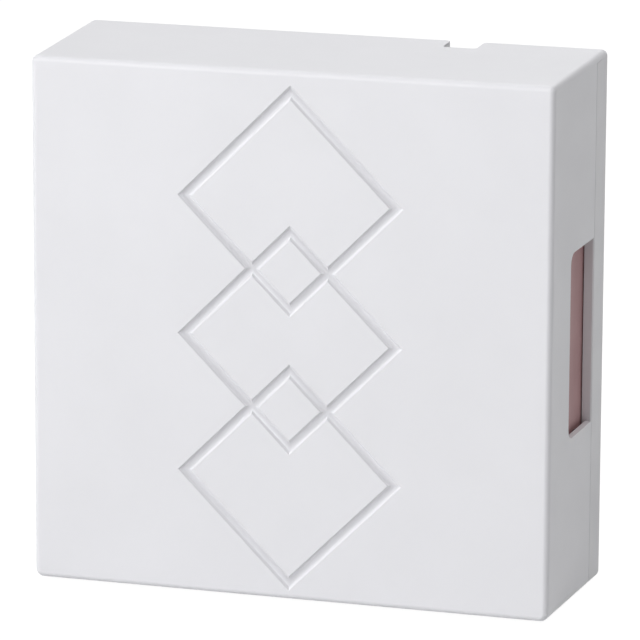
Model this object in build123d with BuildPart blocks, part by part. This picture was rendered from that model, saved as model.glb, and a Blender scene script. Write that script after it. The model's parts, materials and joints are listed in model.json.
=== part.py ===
import os
from math import cos, pi, radians, sin, sqrt, tan

from build123d import *

# Two-note door chime in a square moulded box. The wall plane is Y = 0 and the front faces -Y.
# X runs to the right and Z up, and the origin is the middle of the back. Lengths are millimetres.
# Plane.XZ.offset(d) is the plane that stands d in front of the wall.

os.makedirs("parts", exist_ok=True)

# Box
box_width = 130.0
box_height = 130.0
box_depth = 45.0
wall = 1.5
front_wall = 2.4
wall_draft = 1.4  # degrees, the box is narrower at the front
rim_depth = 9.0  # strip of the base that shows behind the seam
rim_thickness = 2.4
rim_lead_in = 0.3
seam_gap = 0.15
top_corner_radius = 1.5
bottom_corner_radius = 2.0
front_edge_radius = 1.4
overrun = 1.0  # how far a cut runs past what it cuts

# Sound slots in the side walls
slot_front = 29.0  # distance of the slot's front edge from the wall plane
slot_height = 45.0
slot_drop = 1.2
slot_corner_radius = 3.0

# Cable notch in the rear edge of the top wall
notch_centre = 30.65
notch_width = 8.3
notch_depth = 7.6
notch_inner_radius = 1.0
notch_left_radius = 1.0
notch_right_radius = 1.0

# Three lozenges grooved in the front
lozenge_reach = 26.0  # centre to corner
lozenge_pitch = 33.4
lozenge_count = 3
lozenge_place = (0.3, -0.6)  # middle of the middle one
groove_radius = 1.3
groove_depth = 0.8

# Guide ribs inside the cover and sprung tongues on the base
tongue_spacing = 92.0
tongue_width = 14.0
tongue_thickness = 1.6
tongue_reach = 16.0
tongue_bump = 3.0  # length of each slope of the bump
tongue_clearance = 0.1
tongue_inset = 1.0
rib_thickness = 1.2
rib_height = 1.5
rib_gap = 0.6
rib_end = 10.0  # distance of the rib's rear end from the wall plane
rib_root_gap = 0.25  # from the rib's root to the outside of the cover at the front

# Base plate
plate_thickness = 2.5
edge_gap = 0.05
boss_radius = 3.4
wall_slot_spacing = 60.0
wall_slot_gap = 21.45  # from the bottom of the plate to the centres of the slots
wall_slot_length = 9.0
wall_slot_radius = 2.25
keyhole_gap = 19.45  # from the top of the plate to the centre of the keyhole's head
keyhole_head_radius = 4.5
keyhole_shank_radius = 2.25
keyhole_rise = 7.0
cable_hole_radius = 5.0
cable_hole_gap = 11.8  # from the top of the plate to the centre of the cable hole
cable_relief_depth = 3.9

# Tone bars, hung at their still points
bar_length_right = 104.0
bar_length_left = 92.6
bar_width = 26.0
bar_thickness = 1.5
bar_corner_radius = 2.0
bar_side_gap = 0.25
node_share = 0.224
strike_depth = 16.0  # distance of the plunger's axis from the wall plane
grommet_waist_radius = 2.75
grommet_flange_radius = 4.5
grommet_flange = 0.5
grommet_edge_radius = 0.3
pin_radius = 1.5
pin_tip_gap = 0.1
pin_grip = 5.5
pin_chamfer = 0.3
post_gap = 0.3
post_length = 6.8
post_width = 8.0
post_reach = 20.0
post_edge_radius = 0.5
gusset_length = 7.0
gusset_reach = 12.0
gusset_thickness = 1.6

# Solenoid
bobbin_length = 33.8
bobbin_flange = 2.0
bobbin_side = 19.0
bobbin_corner_radius = 2.5
bobbin_tube_radius = 5.2
winding_radius = 8.9
tag_lug_height = 3.0
tag_lug_width = 11.0
tag_radius = 0.4
tag_spacing = 7.0
tag_length = 6.5
guide_outer_radius = 4.3
guide_inner_radius = 3.9
guide_overhang = 1.2
steel = 1.5
yoke_gap = 0.1
yoke_width = 20.0
yoke_standoff = 2.0
yoke_bend_radius = 1.2
yoke_bore_gap = 0.05
yoke_tab_width = 6.0
yoke_tab_gap = 0.05
yoke_cover_margin = 1.5
ear_spacing = 30.0
ear_width = 12.0
ear_end = 5.0

# Plunger, strikers and return spring
plunger_radius = 3.82
plunger_length = 34.0
plunger_rest_shift = 4.5
plunger_chamfer = 0.5
strike_gap = 4.0
shank_radius = 1.7
shank_length = 7.0
rod_radius = 2.7
hammer_radius = 4.0
hammer_length = 6.1
hammer_dome_height = 1.6
collar_radius = 5.6
collar_thickness = 2.5
collar_setback = 7.6  # from the left striker's tip to the collar's outer face
spring_wire_radius = 0.3
spring_radius = 4.75
spring_seat_gap = 0.05
spring_end_gap = 0.6
spring_turns = 9

# Screws
screw_head_radius = 2.8
screw_head_height = 1.8
screw_head_round = 0.7
screw_recess_length = 3.0
screw_recess_width = 0.7
screw_recess_depth = 0.9
screw_radius = 1.45
screw_hole_radius = 1.7
screw_grip = 3.8

# Terminal block
terminal_count = 3
terminal_pitch = 10.0
channel_width = 7.4
channel_floor = 5.0
block_centre = 26.0
block_top_gap = 19.3  # from the top of the plate to the block
block_width = 12.0
block_height = 12.0
block_ear_length = 7.0
block_ear_thickness = 3.0
block_ear_standoff = 4.0
terminal_plate_width = 6.8
terminal_plate_length = 10.0
terminal_plate_thickness = 1.0
clamp_side = 6.4
clamp_thickness = 0.8
clamp_opening = 1.7
terminal_screw_radius = 1.5
terminal_screw_hole_gap = 0.1
terminal_screw_depth = 3.0

# Coil leads
lead_radius = 0.7
lead_insertion = 1.3
lead_bow = 2.0  # how far the long lead bows to the front
short_lead_shares = (0.3, 0.3)  # rise above the tag and drop below the block, of the height between
long_lead_shares = (0.56, 0.4)
bend_share = 0.45  # of the shorter run, taken up by each half of a bend

# Places that follow from the sizes above
draft_slope = tan(radians(wall_draft))
inner_width = box_width - 2 * wall
inner_height = box_height - 2 * wall
plate_height = inner_height - 2 * edge_gap
plate_top = plate_height / 2
bar_front = strike_depth + bar_width / 2
rim_inner = box_width / 2 - rim_thickness - rim_depth * draft_slope
bar_outer = min(rim_inner, inner_width / 2 - bar_front * draft_slope) - bar_side_gap
bar_inner = bar_outer - bar_thickness
grommet_outer = bar_outer + grommet_flange
grommet_inner = bar_inner - grommet_flange
post_outer = grommet_inner - post_gap
bar_lengths = {"right": bar_length_right, "left": bar_length_left}
sides = {"right": 1, "left": -1}
yoke_inner = bobbin_length / 2 + yoke_gap
yoke_outer = yoke_inner + steel
yoke_back = plate_thickness + yoke_standoff
yoke_front = 2 * strike_depth - yoke_back
tip_reach = bar_inner - strike_gap
block_top = plate_top - block_top_gap
block_bottom = block_top - block_width
block_middle = block_top - block_width / 2
block_floor = plate_thickness + channel_floor
ear_back = plate_thickness + block_ear_standoff
ear_front = ear_back + block_ear_thickness
block_ear_spacing = terminal_count * terminal_pitch + block_ear_length
clamp_back = block_floor + terminal_plate_thickness + clamp_opening
clamp_front = clamp_back + clamp_thickness


def across(x):
    # plane across the plunger's axis at x, local X towards the wall and local Y up
    return Plane(origin=(x, -strike_depth, 0), x_dir=(0, 1, 0), z_dir=(1, 0, 0))


def bar_nodes(bar_length):
    # heights of the two still points of a bar
    node = bar_length * (0.5 - node_share)
    return (-node, node)


# Cover
with BuildPart() as cover:
    with BuildSketch(Plane.XZ):
        Rectangle(box_width, box_height)
    extrude(amount=box_depth, taper=wall_draft)
    for row, corner_radius in ((-1, top_corner_radius), (0, bottom_corner_radius)):
        depth_edges = cover.edges().filter_by(lambda edge: abs((edge % 0.5).Y) > 0.9)
        fillet(depth_edges.group_by(Axis.Z)[row], corner_radius)
    fillet(cover.faces().sort_by(Axis.Y)[0].edges(), front_edge_radius)
    with BuildSketch(Plane.XZ):
        Rectangle(inner_width, inner_height)
    extrude(amount=box_depth - front_wall, taper=wall_draft, mode=Mode.SUBTRACT)

    # The side walls stop at the seam, the top and bottom walls run on to the wall plane
    with BuildSketch(Plane.XZ):
        Rectangle(box_width + 2 * overrun, inner_height)
    extrude(amount=rim_depth, taper=wall_draft, mode=Mode.SUBTRACT)

    # Sound slots, open towards the seam
    with BuildSketch(Plane.YZ) as slot_sketch:
        with Locations((-slot_front, -slot_drop)):
            Rectangle(slot_front, slot_height, align=(Align.MIN, Align.CENTER))
        fillet(slot_sketch.vertices().group_by(Axis.X)[0], slot_corner_radius)
    extrude(amount=box_width / 2 + overrun, both=True, mode=Mode.SUBTRACT)

    # Cable notch
    with BuildSketch(Plane.XY.offset(inner_height / 2 - overrun)) as notch_sketch:
        with Locations((notch_centre, -notch_depth)):
            Rectangle(notch_width, notch_depth + overrun, align=(Align.CENTER, Align.MIN))
        fillet(notch_sketch.vertices().group_by(Axis.Y)[0], notch_inner_radius)
    extrude(amount=wall + 2 * overrun, mode=Mode.SUBTRACT)
    notch_mouth = (cover.edges().filter_by(Axis.Z)
                   .filter_by_position(Axis.X, notch_centre - notch_width, notch_centre + notch_width)
                   .group_by(Axis.Y)[-1].sort_by(Axis.X))
    fillet(notch_mouth[0], notch_left_radius)
    notch_mouth = (cover.edges().filter_by(Axis.Z)
                   .filter_by_position(Axis.X, notch_centre, notch_centre + notch_width)
                   .group_by(Axis.Y)[-1])
    fillet(notch_mouth, notch_right_radius)

    # Ribs beside the tongues
    rib_top = box_height / 2 - box_depth * draft_slope - rib_root_gap
    rib_bottom = inner_height / 2 - box_depth * draft_slope - rib_height
    rib_offset = tongue_width / 2 + rib_gap + rib_thickness / 2
    with BuildSketch(Plane.XZ.offset(rib_end)):
        for rib_side in (-1, 1):
            with Locations((tongue_spacing / 2 + rib_side * rib_offset, (rib_top + rib_bottom) / 2)):
                Rectangle(rib_thickness, rib_top - rib_bottom)
        mirror(about=Plane.YZ)
        mirror(about=Plane.XZ)
    extrude(amount=box_depth - front_wall / 2 - rib_end)

    # Lozenge grooves of round section
    middle = lozenge_place[0]
    lozenge_base = lozenge_place[1] - lozenge_pitch * (lozenge_count - 1) / 2
    for index in range(lozenge_count):
        height = lozenge_base + index * lozenge_pitch
        with BuildLine(Plane.XZ.offset(box_depth)) as groove_path:
            Polyline(
                (middle + lozenge_reach / 2, height + lozenge_reach / 2),
                (middle, height + lozenge_reach),
                (middle - lozenge_reach, height),
                (middle, height - lozenge_reach),
                (middle + lozenge_reach, height),
                close=True,
            )
        with BuildSketch(Plane(origin=groove_path.line @ 0, x_dir=(0, -1, 0), z_dir=groove_path.line % 0)):
            with Locations((groove_radius - groove_depth, 0)):
                Circle(groove_radius)
        sweep(transition=Transition.RIGHT, mode=Mode.SUBTRACT)
cover.part.label = "cover"
export_step(cover.part, "parts/cover.step")

# Base plate with the two side rims
with BuildPart() as base_plate:
    with BuildSketch(Plane.XZ):
        Rectangle(box_width, plate_height)
    extrude(amount=rim_depth - seam_gap, taper=wall_draft)
    with BuildSketch(Plane.XZ):
        Rectangle(box_width - 2 * rim_thickness, box_height)
    extrude(amount=rim_depth, taper=wall_draft, mode=Mode.SUBTRACT)
    rim_front = base_plate.edges().filter_by(Axis.Z).group_by(Axis.Y)[0].sort_by(Axis.X)
    chamfer(rim_front[1:3], rim_lead_in)
    with BuildSketch(Plane.XZ):
        Rectangle(box_width - rim_thickness, plate_height)
    extrude(amount=plate_thickness, taper=wall_draft)

    # Posts for the bar pins, each with a gusset
    for side_name, side in sides.items():
        for node in bar_nodes(bar_lengths[side_name]):
            post_middle = side * (post_outer - post_length / 2)
            with BuildSketch(Plane.XZ.offset(plate_thickness)):
                with Locations((post_middle, node)):
                    Rectangle(post_length, post_width)
            extrude(amount=post_reach - plate_thickness)
            with BuildSketch(Plane.XY.offset(node)):
                with BuildLine():
                    Polyline(
                        (post_middle, -plate_thickness),
                        (post_middle, -gusset_reach),
                        (side * (post_outer - post_length), -gusset_reach),
                        (side * (post_outer - post_length - gusset_length), -plate_thickness),
                        close=True,
                    )
                make_face()
            extrude(amount=gusset_thickness / 2, both=True)
    fillet(base_plate.faces().sort_by(Axis.Y)[:4].edges(), post_edge_radius)
    for side_name, side in sides.items():
        with BuildSketch(across(side * (post_outer - pin_grip))):
            with Locations(*[(0, node) for node in bar_nodes(bar_lengths[side_name])]):
                Circle(pin_radius)
        extrude(amount=side * (pin_grip + overrun), mode=Mode.SUBTRACT)

    # Sprung tongues that grip the top and bottom walls of the cover
    tongue_outer = inner_height / 2 - tongue_reach * draft_slope - tongue_inset
    bump_depth = tongue_reach - tongue_bump
    bump_top = inner_height / 2 - bump_depth * draft_slope - tongue_clearance
    with BuildSketch(Plane.YZ.offset(tongue_spacing / 2)):
        with BuildLine():
            Polyline(
                (-plate_thickness, tongue_outer - tongue_thickness),
                (-plate_thickness, tongue_outer),
                (tongue_bump - bump_depth, tongue_outer),
                (-bump_depth, bump_top),
                (-tongue_reach, tongue_outer),
                (-tongue_reach, tongue_outer - tongue_thickness),
                close=True,
            )
        make_face()
        mirror(about=Plane.XZ)
    tongues = extrude(amount=tongue_width / 2, both=True)
    mirror(tongues, about=Plane.YZ)

    # Bosses under the solenoid and the terminal block
    boss_reach = {
        yoke_standoff: [(0, ear_spacing / 2), (0, -ear_spacing / 2)],
        block_ear_standoff: [(block_centre + end * block_ear_spacing / 2, block_middle) for end in (-1, 1)],
    }
    for standoff, places in boss_reach.items():
        with BuildSketch(Plane.XZ.offset(plate_thickness)):
            with Locations(*places):
                Circle(boss_radius)
        extrude(amount=standoff)
        with BuildSketch(Plane.XZ.offset(plate_thickness + standoff)):
            with Locations(*places):
                Circle(screw_radius)
        extrude(amount=-screw_grip, mode=Mode.SUBTRACT)

    # Wall fixings, cable hole and the relief below the cover's notch
    with BuildSketch(Plane.XZ):
        with Locations(*[(end * wall_slot_spacing / 2, wall_slot_gap - plate_top) for end in (-1, 1)]):
            SlotOverall(wall_slot_length, 2 * wall_slot_radius)
        with Locations((0, plate_top - keyhole_gap)):
            Circle(keyhole_head_radius)
        with Locations((0, plate_top - keyhole_gap + keyhole_rise / 2)):
            SlotCenterToCenter(keyhole_rise, 2 * keyhole_shank_radius, rotation=90)
        with Locations((block_centre, plate_top - cable_hole_gap)):
            Circle(cable_hole_radius)
        with Locations((notch_centre, plate_top)):
            Rectangle(notch_width, 2 * cable_relief_depth)
    extrude(amount=plate_thickness, mode=Mode.SUBTRACT)
base_plate.part.label = "base_plate"
export_step(base_plate.part, "parts/base_plate.step")

# Tone bars with their grommets and pins
for side_name, side in sides.items():
    bar_length = bar_lengths[side_name]
    node_places = [(0, node) for node in bar_nodes(bar_length)]

    with BuildPart() as tone_bar:
        with BuildSketch(across(side * bar_inner)):
            RectangleRounded(bar_width, bar_length, bar_corner_radius)
            with Locations(*node_places):
                Circle(grommet_waist_radius, mode=Mode.SUBTRACT)
        extrude(amount=side * bar_thickness)
    tone_bar.part.label = f"tone_bar_{side_name}"
    export_step(tone_bar.part, f"parts/{tone_bar.part.label}.step")

    with BuildPart() as grommets:
        for start, thickness, radius in (
            (grommet_inner, grommet_flange, grommet_flange_radius),
            (bar_inner, bar_thickness, grommet_waist_radius),
            (bar_outer, grommet_flange, grommet_flange_radius),
        ):
            with BuildSketch(across(side * start)):
                with Locations(*node_places):
                    Circle(radius)
                    Circle(pin_radius, mode=Mode.SUBTRACT)
            extrude(amount=side * thickness)
        rims = grommets.edges().filter_by(GeomType.CIRCLE).filter_by(
            lambda edge: edge.radius > grommet_waist_radius
        )
        fillet(rims.group_by(Axis.X)[0] + rims.group_by(Axis.X)[-1], grommet_edge_radius)
    grommets.part.label = f"grommets_{side_name}"
    export_step(grommets.part, f"parts/{grommets.part.label}.step")

    with BuildPart() as bar_pins:
        with BuildSketch(across(side * (post_outer - pin_grip))):
            with Locations(*node_places):
                Circle(pin_radius)
        extrude(amount=side * (grommet_outer - pin_tip_gap - post_outer + pin_grip))
        pin_tips = bar_pins.edges().group_by(Axis.X)[-1 if side > 0 else 0]
        chamfer(pin_tips, pin_chamfer)
    bar_pins.part.label = f"bar_pins_{side_name}"
    export_step(bar_pins.part, f"parts/{bar_pins.part.label}.step")

# Spool, winding and guide tube
with BuildPart() as coil_bobbin:
    with BuildSketch(across(-bobbin_length / 2)):
        Circle(bobbin_tube_radius)
    extrude(amount=bobbin_length)
    for flange_start in (-bobbin_length / 2, bobbin_length / 2 - bobbin_flange):
        with BuildSketch(across(flange_start)):
            RectangleRounded(bobbin_side, bobbin_side, bobbin_corner_radius)
        extrude(amount=bobbin_flange)
    with BuildSketch(across(bobbin_length / 2 - bobbin_flange)):
        with Locations((0, bobbin_side / 2)):
            Rectangle(tag_lug_width, 2 * tag_lug_height)
    extrude(amount=bobbin_flange)
    with BuildSketch(across(-bobbin_length / 2)):
        Circle(guide_outer_radius)
    extrude(amount=bobbin_length, mode=Mode.SUBTRACT)
    tag_middle = (bobbin_length - bobbin_flange) / 2
    tag_places = [(tag_middle, -strike_depth + end * tag_spacing / 2) for end in (-1, 1)]
    tag_root = bobbin_side / 2
    with BuildSketch(Plane.XY.offset(tag_root)):
        with Locations(*tag_places):
            Circle(tag_radius)
    extrude(amount=tag_lug_height + overrun, mode=Mode.SUBTRACT)
coil_bobbin.part.label = "coil_bobbin"
export_step(coil_bobbin.part, "parts/coil_bobbin.step")

with BuildPart() as coil_winding:
    with BuildSketch(across(bobbin_flange - bobbin_length / 2)):
        Circle(winding_radius)
        Circle(bobbin_tube_radius, mode=Mode.SUBTRACT)
    extrude(amount=bobbin_length - 2 * bobbin_flange)
coil_winding.part.label = "coil_winding"
export_step(coil_winding.part, "parts/coil_winding.step")

with BuildPart() as coil_tags:
    with BuildSketch(Plane.XY.offset(tag_root)):
        with Locations(*tag_places):
            Circle(tag_radius)
    extrude(amount=tag_length)
coil_tags.part.label = "coil_tags"
export_step(coil_tags.part, "parts/coil_tags.step")
tag_tip = tag_root + tag_length

with BuildPart() as guide_tube:
    with BuildSketch(across(-yoke_outer - guide_overhang)):
        Circle(guide_outer_radius)
        Circle(guide_inner_radius, mode=Mode.SUBTRACT)
    extrude(amount=2 * (yoke_outer + guide_overhang))
guide_tube.part.label = "guide_tube"
export_step(guide_tube.part, "parts/guide_tube.step")

# U-shaped yoke with two screw ears, and the plate that closes it
with BuildPart() as yoke_frame:
    with BuildSketch(Plane.XY) as yoke_profile:
        with Locations((0, -yoke_back)):
            Rectangle(2 * yoke_outer, yoke_front - yoke_back, align=(Align.CENTER, Align.MAX))
        with Locations((0, -yoke_back - steel)):
            Rectangle(2 * yoke_inner, yoke_front - yoke_back, align=(Align.CENTER, Align.MAX),
                      mode=Mode.SUBTRACT)
        fillet(yoke_profile.vertices().group_by(Axis.Y)[-1], yoke_bend_radius)
    extrude(amount=yoke_width / 2, both=True)
    with BuildSketch(Plane.XZ.offset(yoke_back)) as ears:
        Rectangle(ear_width, ear_spacing + 2 * ear_end)
        fillet(ears.vertices(), ear_end / 2)
        with Locations((0, ear_spacing / 2), (0, -ear_spacing / 2)):
            Circle(screw_hole_radius, mode=Mode.SUBTRACT)
    extrude(amount=steel)
    with BuildSketch(across(-yoke_outer)):
        Circle(guide_outer_radius + yoke_bore_gap)
    extrude(amount=2 * yoke_outer, mode=Mode.SUBTRACT)
    with BuildSketch(Plane.XZ.offset(yoke_front)):
        with Locations((yoke_inner + steel / 2, 0), (-yoke_inner - steel / 2, 0)):
            Rectangle(steel, yoke_tab_width)
    extrude(amount=steel)
yoke_frame.part.label = "yoke_frame"
export_step(yoke_frame.part, "parts/yoke_frame.step")

with BuildPart() as yoke_cover:
    with BuildSketch(Plane.XZ.offset(yoke_front)):
        Rectangle(2 * (yoke_outer + yoke_cover_margin), yoke_width)
        with Locations((yoke_inner + steel / 2, 0), (-yoke_inner - steel / 2, 0)):
            Rectangle(steel + 2 * yoke_tab_gap, yoke_tab_width + 2 * yoke_tab_gap, mode=Mode.SUBTRACT)
    extrude(amount=steel)
yoke_cover.part.label = "yoke_cover"
export_step(yoke_cover.part, "parts/yoke_cover.step")

# Screws of the yoke and of the terminal block, with cross recesses
screw_sets = {
    "yoke_screws": (yoke_back + steel, steel, [(0, ear_spacing / 2), (0, -ear_spacing / 2)]),
    "block_screws": (ear_front, block_ear_thickness, boss_reach[block_ear_standoff]),
}
for screw_name, (seat, clamped, places) in screw_sets.items():
    with BuildPart() as screws:
        with BuildSketch(Plane.XZ.offset(seat)):
            with Locations(*places):
                Circle(screw_head_radius)
        extrude(amount=screw_head_height)
        fillet(screws.edges().group_by(Axis.Y)[0], screw_head_round)
        with BuildSketch(Plane.XZ.offset(seat)):
            with Locations(*places):
                Circle(screw_radius)
        extrude(amount=-clamped - screw_grip)
        with BuildSketch(Plane.XZ.offset(seat + screw_head_height)):
            with Locations(*places):
                Rectangle(screw_recess_length, screw_recess_width)
                Rectangle(screw_recess_width, screw_recess_length)
        extrude(amount=-screw_recess_depth, mode=Mode.SUBTRACT)
    screws.part.label = screw_name
    export_step(screws.part, f"parts/{screw_name}.step")

# Plunger
plunger_left = -plunger_rest_shift - plunger_length / 2
plunger_right = plunger_left + plunger_length
with BuildPart() as plunger:
    with BuildSketch(across(plunger_left)):
        Circle(plunger_radius)
    extrude(amount=plunger_length)
    chamfer(plunger.edges(), plunger_chamfer)
    for bore_start in (plunger_left, plunger_right - shank_length):
        with BuildSketch(across(bore_start)):
            Circle(shank_radius)
        extrude(amount=shank_length, mode=Mode.SUBTRACT)
plunger.part.label = "plunger"
export_step(plunger.part, "parts/plunger.step")

# Strikers, turned about the plunger's axis
plunger_ends = {"right": plunger_right, "left": -plunger_left}
for side_name, side in sides.items():
    root = plunger_ends[side_name]
    dome_radius = (hammer_radius ** 2 + hammer_dome_height ** 2) / (2 * hammer_dome_height)
    with BuildPart() as striker:
        for start, end, radius in (
            (root - shank_length, root, shank_radius),
            (root, tip_reach - hammer_length, rod_radius),
        ):
            with BuildSketch(across(side * start)):
                Circle(radius)
            extrude(amount=side * (end - start))
        with BuildSketch(Plane(origin=(0, -strike_depth, 0), x_dir=(side, 0, 0), z_dir=(0, -1, 0))):
            with BuildLine():
                hammer_edge = Polyline(
                    (tip_reach, 0),
                    (tip_reach - hammer_length, 0),
                    (tip_reach - hammer_length, hammer_radius),
                    (tip_reach - hammer_dome_height, hammer_radius),
                )
                RadiusArc(hammer_edge @ 1, hammer_edge @ 0, dome_radius)
            make_face()
        revolve(axis=Axis((0, -strike_depth, 0), (1, 0, 0)))
        if side_name == "left":
            collar_outer = tip_reach - collar_setback
            with BuildSketch(across(-collar_outer)):
                Circle(collar_radius)
            extrude(amount=collar_thickness)
    striker.part.label = f"striker_{side_name}"
    export_step(striker.part, f"parts/{striker.part.label}.step")

# Return spring between the yoke and the collar, its turns closer at both ends
spring_start = -yoke_outer - spring_wire_radius - spring_seat_gap
spring_end = -(collar_outer - collar_thickness) + spring_wire_radius + spring_seat_gap
end_pitch = 2 * spring_wire_radius + spring_end_gap
middle_pitch = (spring_start - spring_end - 2 * end_pitch) / (spring_turns - 2)
quarter_steps = 4 * spring_turns


def spring_place(turn):
    # how far along the axis the wire has run after so many turns
    middle_turns = min(max(turn - 1, 0), spring_turns - 2)
    end_turns = turn - middle_turns
    return spring_start - end_turns * end_pitch - middle_turns * middle_pitch


def spring_point(step):
    turn = step / 4
    angle = 2 * pi * turn
    return Vector(spring_place(turn), -strike_depth + spring_radius * cos(angle), spring_radius * sin(angle))


def spring_tangent(step):
    turn = step / 4
    angle = 2 * pi * turn
    before = spring_place(max(turn - 1 / 4, 0))
    after = spring_place(min(turn + 1 / 4, spring_turns))
    span = min(turn + 1 / 4, spring_turns) - max(turn - 1 / 4, 0)
    around = 2 * pi * spring_radius
    return Vector((after - before) / span, -around * sin(angle), around * cos(angle)).normalized()


with BuildPart() as return_spring:
    with BuildLine() as spring_line:
        for step in range(quarter_steps):
            start, end = spring_point(step), spring_point(step + 1)
            leaving, arriving = spring_tangent(step), spring_tangent(step + 1)
            chord = end - start
            both = leaving + arriving
            spread = 2 * (1 - leaving.dot(arriving))
            along = chord.dot(both)
            reach = (sqrt(along ** 2 + spread * chord.dot(chord)) - along) / spread
            joint = (start + end + (leaving - arriving) * reach) / 2
            first = TangentArc(start, joint, tangent=leaving)
            TangentArc(joint, end, tangent=first % 1)
    with BuildSketch(Plane(origin=spring_line.line @ 0, z_dir=spring_line.line % 0)):
        Circle(spring_wire_radius)
    sweep()
return_spring.part.label = "return_spring"
export_step(return_spring.part, "parts/return_spring.step")
spring_steps = 48
spring_points = [spring_line.line @ (index / (spring_steps * spring_turns))
                 for index in range(spring_steps * spring_turns + 1)]
spring_gap = min((spring_points[i] - spring_points[j]).length
                 for i in range(len(spring_points))
                 for j in range(i + spring_steps // 2, len(spring_points))) - 2 * spring_wire_radius
print(f"return_spring: least gap between turns {spring_gap:.2f} mm")

# Terminal block with its plates, clamps and screws
terminal_places = [(block_centre + (index - (terminal_count - 1) / 2) * terminal_pitch, block_middle)
                   for index in range(terminal_count)]
with BuildPart() as terminal_block:
    with BuildSketch(Plane.XZ.offset(plate_thickness)):
        with Locations((block_centre, block_middle)):
            Rectangle(terminal_count * terminal_pitch, block_width)
    extrude(amount=block_height)
    with BuildSketch(Plane.XZ.offset(ear_back)):
        with Locations((block_centre, block_middle)):
            SlotOverall(block_ear_spacing + block_ear_length, block_ear_length)
    extrude(amount=block_ear_thickness)
    with BuildSketch(Plane.XZ.offset(ear_front)):
        with Locations(*boss_reach[block_ear_standoff]):
            Circle(screw_hole_radius)
    extrude(amount=-block_ear_thickness, mode=Mode.SUBTRACT)
    with BuildSketch(Plane.XZ.offset(block_floor)):
        with Locations(*terminal_places):
            Rectangle(channel_width, block_width)
    extrude(amount=block_height - channel_floor, mode=Mode.SUBTRACT)
    with BuildSketch(Plane.XZ.offset(block_floor)):
        with Locations(*terminal_places):
            Circle(terminal_screw_radius)
    extrude(amount=-terminal_screw_depth, mode=Mode.SUBTRACT)
terminal_block.part.label = "terminal_block"
export_step(terminal_block.part, "parts/terminal_block.step")

with BuildPart() as terminal_plates:
    with BuildSketch(Plane.XZ.offset(block_floor)):
        with Locations(*terminal_places):
            Rectangle(terminal_plate_width, terminal_plate_length)
            Circle(terminal_screw_radius, mode=Mode.SUBTRACT)
    extrude(amount=terminal_plate_thickness)
terminal_plates.part.label = "terminal_plates"
export_step(terminal_plates.part, "parts/terminal_plates.step")

with BuildPart() as terminal_clamps:
    with BuildSketch(Plane.XZ.offset(clamp_back)):
        with Locations(*terminal_places):
            Rectangle(clamp_side, clamp_side)
            Circle(terminal_screw_radius + terminal_screw_hole_gap, mode=Mode.SUBTRACT)
    extrude(amount=clamp_thickness)
terminal_clamps.part.label = "terminal_clamps"
export_step(terminal_clamps.part, "parts/terminal_clamps.step")

with BuildPart() as terminal_screws:
    with BuildSketch(Plane.XZ.offset(clamp_front)):
        with Locations(*terminal_places):
            Circle(screw_head_radius)
    extrude(amount=screw_head_height)
    fillet(terminal_screws.edges().group_by(Axis.Y)[0], screw_head_round)
    with BuildSketch(Plane.XZ.offset(clamp_front)):
        with Locations(*terminal_places):
            Circle(terminal_screw_radius)
    extrude(amount=block_floor - terminal_screw_depth - clamp_front)
    with BuildSketch(Plane.XZ.offset(clamp_front + screw_head_height)):
        with Locations(*terminal_places):
            Rectangle(screw_recess_length, screw_recess_width)
            Rectangle(screw_recess_width, screw_recess_length)
    extrude(amount=-screw_recess_depth, mode=Mode.SUBTRACT)
terminal_screws.part.label = "terminal_screws"
export_step(terminal_screws.part, "parts/terminal_screws.step")

# Insulated leads from the tags to the first and the last terminal
lead_level = block_floor + terminal_plate_thickness + clamp_opening / 2
lead_end = block_middle - clamp_side / 2 + lead_insertion
lead_space = block_bottom - tag_tip
leads = {
    "coil_lead_short": (tag_places[1], terminal_places[0], short_lead_shares, 0),
    "coil_lead_long": (tag_places[0], terminal_places[-1], long_lead_shares, lead_bow),
}
for lead_name, (tag, terminal, shares, bow) in leads.items():
    rise_share, drop_share = shares
    rise_level = tag_tip + rise_share * lead_space
    drop_level = block_bottom - drop_share * lead_space
    corners = [Vector(tag[0], tag[1], tag_tip), Vector(tag[0], tag[1], rise_level)]
    if bow:
        halfway = (corners[1] + Vector(terminal[0], -lead_level, drop_level)) / 2
        corners.append(halfway - Vector(0, bow, 0))
    corners.append(Vector(terminal[0], -lead_level, drop_level))
    corners.append(Vector(terminal[0], -lead_level, lead_end))
    runs = [corners[i + 1] - corners[i] for i in range(len(corners) - 1)]
    radii = []
    for run, next_run in zip(runs, runs[1:]):
        half_turn = radians(run.get_angle(next_run) / 2)
        radii.append(bend_share * min(run.length, next_run.length) / tan(half_turn))
    with BuildPart() as lead:
        with BuildLine() as lead_path:
            FilletPolyline(*corners, radius=radii)
        with BuildSketch(Plane(origin=lead_path.line @ 0, z_dir=lead_path.line % 0)):
            Circle(lead_radius)
        sweep()
    lead.part.label = lead_name
    export_step(lead.part, f"parts/{lead_name}.step")
    lead_length = lead_path.wire().length
    swept = pi * lead_radius ** 2 * lead_length
    print(f"{lead_name}: length {lead_length:.1f} mm, radii "
          + ", ".join(f"{radius:.1f}" for radius in radii)
          + f", volume {lead.part.volume:.2f} of {swept:.2f}")
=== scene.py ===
import json
import math

import bmesh
import bpy
from mathutils import Matrix, Vector


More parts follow.
